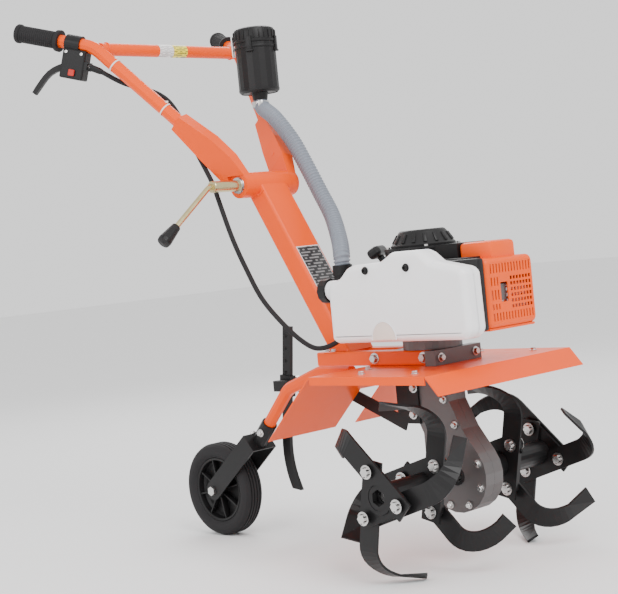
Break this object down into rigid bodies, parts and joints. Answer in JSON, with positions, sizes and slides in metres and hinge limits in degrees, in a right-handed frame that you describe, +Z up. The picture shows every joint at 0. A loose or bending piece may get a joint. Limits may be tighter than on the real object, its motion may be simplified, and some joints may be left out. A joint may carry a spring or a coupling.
{
  "type": "petrol mini tiller",
  "caption": "Petrol mini tiller: vertical-shaft engine over a worm gearbox, four tine sets, transport wheel, depth stake and folding handlebars with a snorkel air cleaner.",
  "frame": {"origin": "bottom centre of the bounding box, on the ground between the wheel and the tines", "axes": "+X the way the machine drives, +Y its left side, +Z up"},
  "size_m": [0.9379, 0.5394, 1.0194],
  "materials": {
    "orange_paint": "gloss",
    "orange_plastic": "satin",
    "black_paint": "satin",
    "black_plastic": "satin",
    "rubber": "matte",
    "grip_rubber": "matte",
    "cast_metal": "cast",
    "bright_steel": "satin",
    "yellow_zinc": "plated",
    "tank_plastic": "satin",
    "hose_plastic": "satin",
    "brass": "satin",
    "filter_paper": "matte",
    "red_plastic": "gloss"
  },
  "bodies": {
    "root": {"wheel_fork": "black_paint", "axle_bolt": "bright_steel", "rear_pipe": "orange_paint", "stake_holder": "black_paint", "fender": "orange_paint", "rail_right": "orange_paint", "rail_left": "orange_paint", "column": "orange_paint", "gearbox_case_right": "cast_metal", "gearbox_case_left": "cast_metal", "gearbox_block": "cast_metal", "clutch_housing": "cast_metal", "fender_stay": "black_paint", "axle_bearing_right": "bright_steel", "axle_bearing_left": "bright_steel", "crankcase": "cast_metal", "cylinder": "cast_metal", "spark_plug": "black_plastic", "engine_cover": "orange_plastic", "muffler": "bright_steel", "fan_housing": "black_plastic", "starter_cover": "black_plastic", "fuel_tank": "tank_plastic", "carburettor": "cast_metal", "intake_elbow": "black_plastic", "air_hose": "hose_plastic", "throttle_cable": "black_plastic"},
    "wheel": {"tyre": "rubber", "wheel_rim": "black_plastic"},
    "stake": {"depth_stake": "black_paint"},
    "stake_screw": {"stake_screw": "bright_steel"},
    "rotor": {"rotor_shaft": "bright_steel", "worm_wheel": "brass", "hub_right": "black_paint", "hub_left": "black_paint", "tines_right_outer": "black_paint", "tines_right_inner": "black_paint", "tines_left_outer": "black_paint", "tines_left_inner": "black_paint"},
    "drive": {"worm_shaft": "bright_steel"},
    "crank": {"crankshaft": "bright_steel", "flywheel": "cast_metal"},
    "piston": {"piston": "cast_metal"},
    "fuel_cap": {"fuel_cap": "black_plastic"},
    "recoil": {"pull_handle": "black_plastic"},
    "handlebar": {"handlebar_right": "orange_paint", "handlebar_left": "orange_paint", "crossbar": "orange_paint", "grip_right": "grip_rubber", "grip_left": "grip_rubber", "pivot_bolt": "bright_steel", "throttle_housing": "black_plastic", "air_cleaner_body": "black_plastic", "air_cleaner_lid": "black_plastic", "filter_element": "filter_paper"},
    "clamp": {"clamp_lever": "yellow_zinc", "clamp_knob": "black_plastic"},
    "throttle": {"throttle_lever": "black_plastic"},
    "switch": {"stop_switch": "red_plastic"},
    "latch": {"lid_latch": "bright_steel"}
  },
  "joints": [
    {"name": "wheel_spin", "type": "hinge", "parent": "root", "child": "wheel", "pos_m": [-0.288, 0, 0.09], "axis": [0, 1, 0], "continuous": true},
    {"name": "stake_slide", "type": "slide", "parent": "root", "child": "stake", "axis": [0.1392, 0, 0.9903], "range_m": [-0.09, 0.07]},
    {"name": "stake_screw_turn", "type": "hinge", "parent": "root", "child": "stake_screw", "pos_m": [-0.12288, 0.04, 0.291], "axis": [0, 1, 0], "continuous": true},
    {"name": "rotor_spin", "type": "hinge", "parent": "root", "child": "rotor", "pos_m": [0.325, 0, 0.14491], "axis": [0, 1, 0], "continuous": true},
    {"name": "worm_spin", "type": "hinge", "parent": "root", "child": "drive", "pos_m": [0.281, 0, 0.14491], "axis": [0, 0, 1], "continuous": true},
    {"name": "crank_spin", "type": "hinge", "parent": "root", "child": "crank", "pos_m": [0.281, 0, 0.43121], "axis": [0, 0, 1], "continuous": true},
    {"name": "piston_slide", "type": "slide", "parent": "root", "child": "piston", "axis": [1, 0, 0], "range_m": [0, 0.03]},
    {"name": "fuel_cap_turn", "type": "hinge", "parent": "root", "child": "fuel_cap", "pos_m": [0.172, -0.107, 0.46791], "axis": [1, 0, 0], "continuous": true},
    {"name": "recoil_pull", "type": "slide", "parent": "root", "child": "recoil", "axis": [-0.449, -0.2494, 0.858], "range_m": [0, 0.5]},
    {"name": "handlebar_tilt", "type": "hinge", "parent": "root", "child": "handlebar", "pos_m": [-0.088, 0, 0.668], "axis": [0, 1, 0], "range_deg": [-20, 20], "deforming": ["air_hose", "throttle_cable"]},
    {"name": "clamp_turn", "type": "hinge", "parent": "handlebar", "child": "clamp", "pos_m": [-0.088, 0, 0.668], "axis": [0, 1, 0], "range_deg": [-60, 60]},
    {"name": "throttle_squeeze", "type": "hinge", "parent": "handlebar", "child": "throttle", "pos_m": [-0.36167, -0.20272, 0.92472], "axis": [-0.463, 0.8863, 0], "range_deg": [0, 22], "stiffness_Nm_per_rad": 0.3, "springref_deg": -20.05},
    {"name": "stop_switch_slide", "type": "slide", "parent": "handlebar", "child": "switch", "axis": [-0.848, -0.443, 0.2911], "range_m": [0, 0.005]},
    {"name": "latch_open", "type": "hinge", "parent": "handlebar", "child": "latch", "pos_m": [-0.21596, 0.07182, 0.9255], "axis": [0.5736, -0.8192, 0], "range_deg": [0, 60]}
  ],
  "couplings": [
    {"joint": "worm_spin", "follows": "rotor_spin", "ratio": -24}
  ]
}
